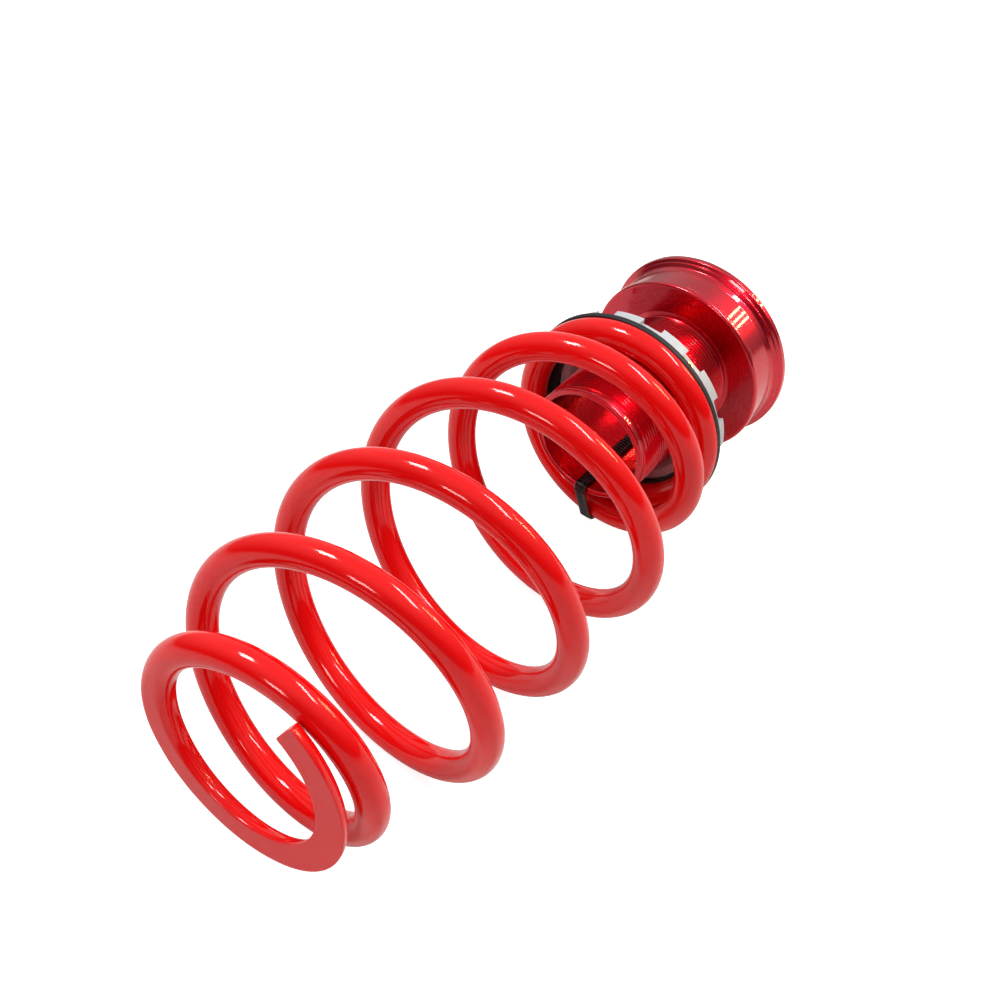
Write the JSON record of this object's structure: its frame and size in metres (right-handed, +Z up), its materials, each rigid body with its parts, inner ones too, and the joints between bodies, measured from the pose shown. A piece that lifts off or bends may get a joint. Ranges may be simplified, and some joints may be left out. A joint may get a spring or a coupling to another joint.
{
  "type": "coilover spring set",
  "caption": "Barrel coil spring on a threaded height adjuster with a flange, ring nut and rubber pad, held together by a cable tie.",
  "frame": {"origin": "on the surface that the set lies on, under the centre of its bounding box", "axes": "+X along the set's axis from the spring's free end to the flange, +Z up from the surface, so the set lies on its side"},
  "size_m": [0.2786, 0.115, 0.115],
  "materials": {
    "red_anodised": "red anodised, turned",
    "blasted_aluminium": "matt, blasted",
    "screw_steel": "zinc plated",
    "pad_rubber": "matt",
    "spring_paint": "gloss powder coat",
    "tie_nylon": "satin"
  },
  "bodies": {
    "adjuster": {"adjuster_body": "red_anodised", "tie_strap": "tie_nylon", "tie_head": "tie_nylon"},
    "spring_seat": {"rubber_seat": "pad_rubber", "seat_coil": "spring_paint", "active_coils": "spring_paint"},
    "collar": {"ring_nut": "blasted_aluminium", "lock_screw": "screw_steel"},
    "spring_foot": {"foot_coil": "spring_paint"}
  },
  "joints": [
    {"name": "seat_travel", "type": "slide", "parent": "adjuster", "child": "spring_seat", "axis": [1, 0, 0], "range_m": [0, 0.024], "deforming": ["tie_strap"]},
    {"name": "collar_turn", "type": "hinge", "parent": "spring_seat", "child": "collar", "pos_m": [0.07981, 0, 0.0575], "axis": [1, 0, 0], "range_deg": [0, 5760]},
    {"name": "spring_compression", "type": "slide", "parent": "spring_seat", "child": "spring_foot", "axis": [1, 0, 0], "range_m": [0, 0.07], "stiffness_N_per_m": 38000, "deforming": ["active_coils"]}
  ],
  "couplings": [
    {"joint": "collar_turn", "follows": "seat_travel", "rad_per_m": 4188.8}
  ]
}
